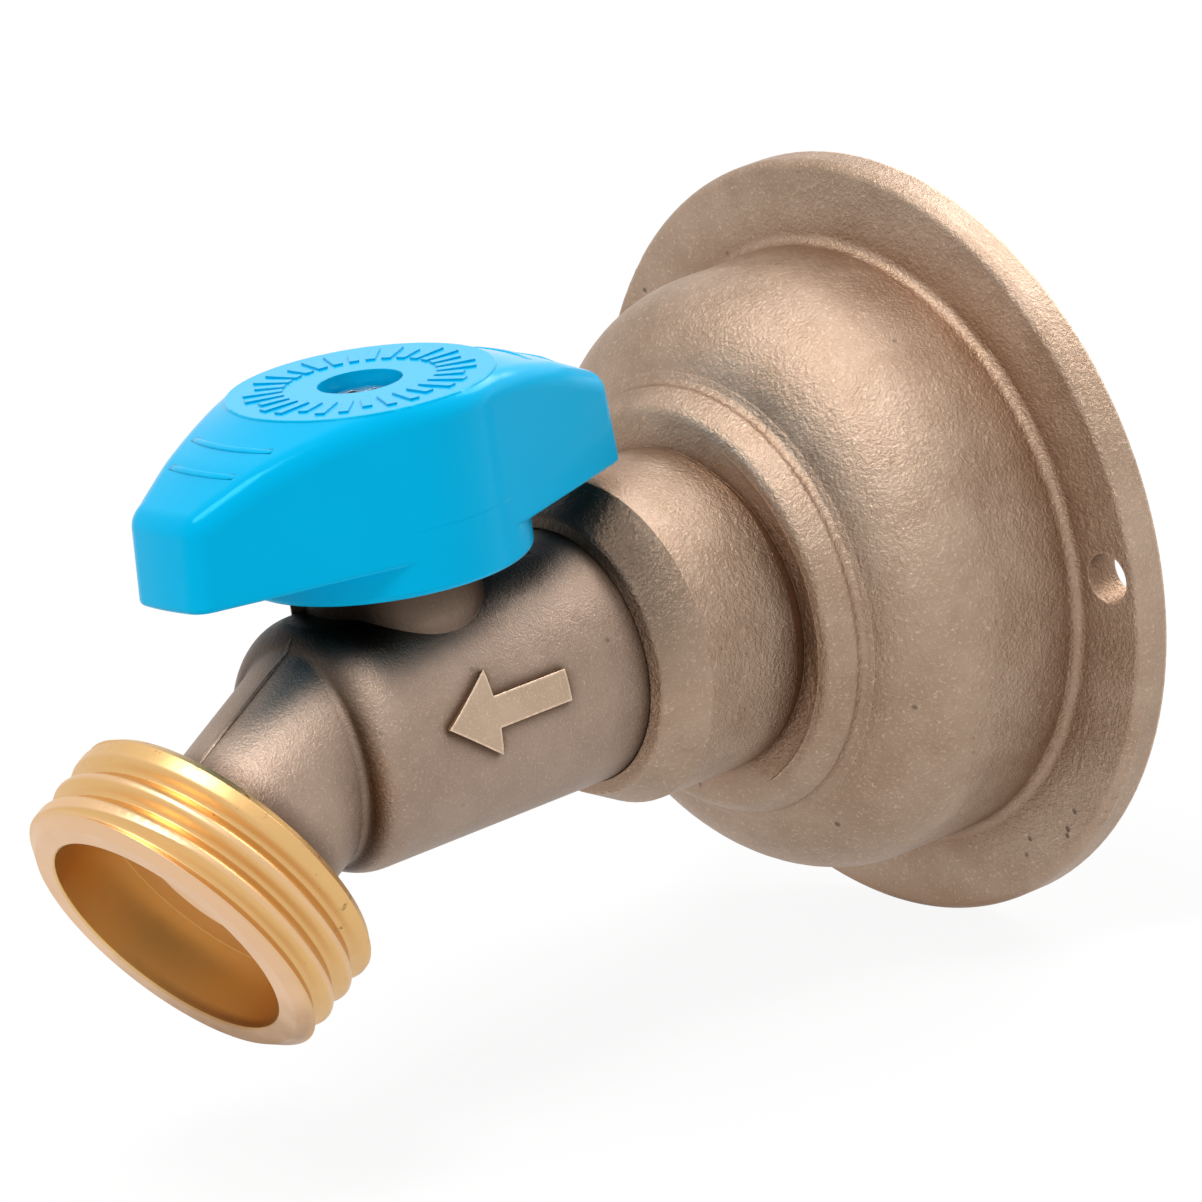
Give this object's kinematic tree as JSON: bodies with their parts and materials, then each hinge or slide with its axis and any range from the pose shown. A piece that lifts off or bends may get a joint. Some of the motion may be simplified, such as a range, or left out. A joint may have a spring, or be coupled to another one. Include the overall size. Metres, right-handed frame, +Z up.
{
  "type": "hose bibb",
  "caption": "Quarter-turn ball hose bibb with a bell wall flange, two-wing handle and a down-turned male hose outlet.",
  "frame": {"origin": "centre of the flange's wall face, midway between its two screw holes", "axes": "+Z up along the stem towards the handle, -Y out of the wall along the barrel, +X to the right hand screw hole seen from the front"},
  "size_m": [0.062, 0.0827, 0.062],
  "materials": {
    "cast_bronze": "sand-cast and shot-blasted",
    "forged_brass": "matte, shot-blasted forging",
    "machined_brass": "bright, turned",
    "blue_plastic": "glossy moulded",
    "screw_steel": "zinc plated",
    "ball_chrome": "polished",
    "seat_plastic": "white, waxy",
    "seal_rubber": "matte"
  },
  "bodies": {
    "housing": {"wall_flange": "cast_bronze", "valve_body": "forged_brass", "outlet_seat": "seat_plastic", "inlet_seat": "seat_plastic", "seat_retainer": "machined_brass", "spigot_gasket": "seal_rubber", "thrust_washer": "seat_plastic"},
    "turning": {"handle": "blue_plastic", "handle_screw": "screw_steel", "stem": "machined_brass", "lower_stem_ring": "seal_rubber", "upper_stem_ring": "seal_rubber", "ball": "ball_chrome"}
  },
  "joints": [
    {"name": "handle_turn", "type": "hinge", "parent": "housing", "child": "turning", "pos_m": [0, -0.05035, 0.0181], "axis": [0, 0, 1], "range_deg": [-90, 0]}
  ]
}
